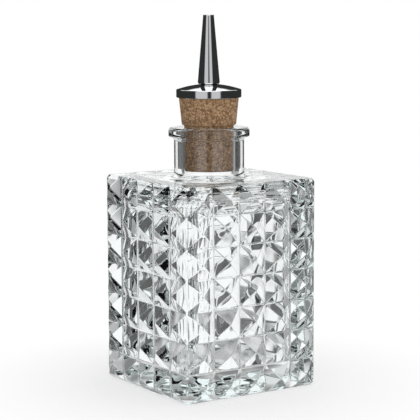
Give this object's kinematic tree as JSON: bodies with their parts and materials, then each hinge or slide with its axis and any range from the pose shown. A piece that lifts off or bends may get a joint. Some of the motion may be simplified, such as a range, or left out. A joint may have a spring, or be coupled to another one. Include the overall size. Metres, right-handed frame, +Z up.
{
  "type": "bitters bottle",
  "caption": "Square pressed-glass bitters bottle with a raised diamond-point pattern, round neck and a corked metal dasher top that pulls out.",
  "frame": {"origin": "middle of the base, on the surface the bottle stands on", "axes": "+Z up along the neck and the spout; X and Y square to the four patterned sides"},
  "size_m": [0.0638, 0.0638, 0.1418],
  "materials": {
    "clear_glass": "clear pressed soda-lime glass, faint green-grey where thick",
    "cork": "agglomerated cork, fine granules with dark flecks",
    "chrome_plate": "polished chrome plate",
    "plain_steel": "plain drawn steel tube"
  },
  "bodies": {
    "bottle": {"glass_bottle": "clear_glass"},
    "stopper": {"cork_stopper": "cork", "metal_cap": "chrome_plate", "pouring_spout": "chrome_plate", "stem_tube": "plain_steel"}
  },
  "joints": [
    {"name": "stopper_pull", "type": "slide", "parent": "bottle", "child": "stopper", "axis": [0, 0, 1], "range_m": [0, 0.03]}
  ]
}
